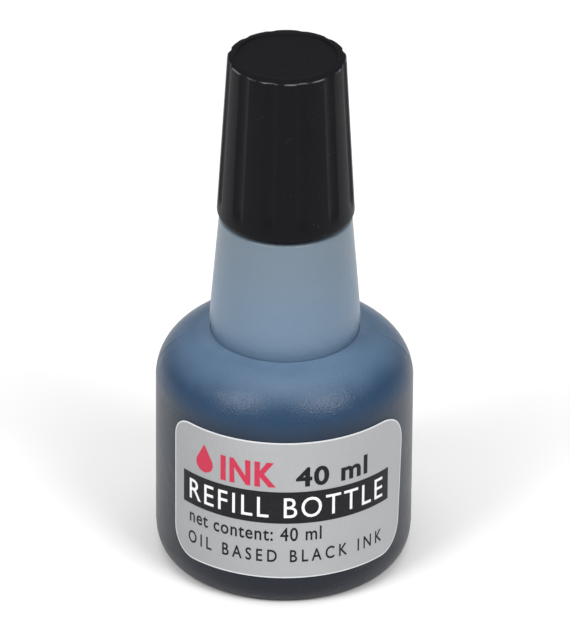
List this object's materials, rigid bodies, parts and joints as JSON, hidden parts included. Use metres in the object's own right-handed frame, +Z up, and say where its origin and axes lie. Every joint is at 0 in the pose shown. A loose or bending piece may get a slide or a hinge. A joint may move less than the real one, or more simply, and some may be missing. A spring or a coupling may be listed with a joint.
{
  "type": "ink bottle",
  "caption": "Round squeezable ink bottle with a tapered neck, a wrap-round label, a dropper plug in the mouth and a tall fluted screw cap over its nozzle.",
  "frame": {"origin": "centre of the base, on the bottle's axis and on the plane that the bottle stands on", "axes": "+Z up the bottle's axis, the label faces -Y, +X to the right of someone who reads the label"},
  "size_m": [0.04, 0.0403, 0.086],
  "materials": {
    "inked_polythene": "translucent squeezable polythene with blue ink behind it, faint orange-peel, satin gloss",
    "natural_polythene": "milky natural polythene, satin",
    "black_polypropylene": "black moulded polypropylene, satin gloss with worn rim",
    "white_foam": "fine closed-cell foam",
    "silver_label": "silver-grey printed film, satin",
    "ink": "liquid, blue-black"
  },
  "bodies": {
    "bottle": {"bottle_body": "inked_polythene", "dropper_plug": "natural_polythene", "front_label": "silver_label", "ink_fill": "ink"},
    "liner": {"cap_liner": "white_foam"},
    "cap": {"screw_cap": "black_polypropylene"}
  },
  "joints": [
    {"name": "cap_rise", "type": "slide", "parent": "bottle", "child": "liner", "axis": [0, 0, 1], "range_m": [0, 0.02541]},
    {"name": "cap_turn", "type": "hinge", "parent": "liner", "child": "cap", "pos_m": [0, 0, 0.0588], "axis": [0, 0, 1], "range_deg": [0, 2880]}
  ],
  "couplings": [
    {"joint": "cap_rise", "follows": "cap_turn", "m_per_rad": 0.00050532}
  ]
}
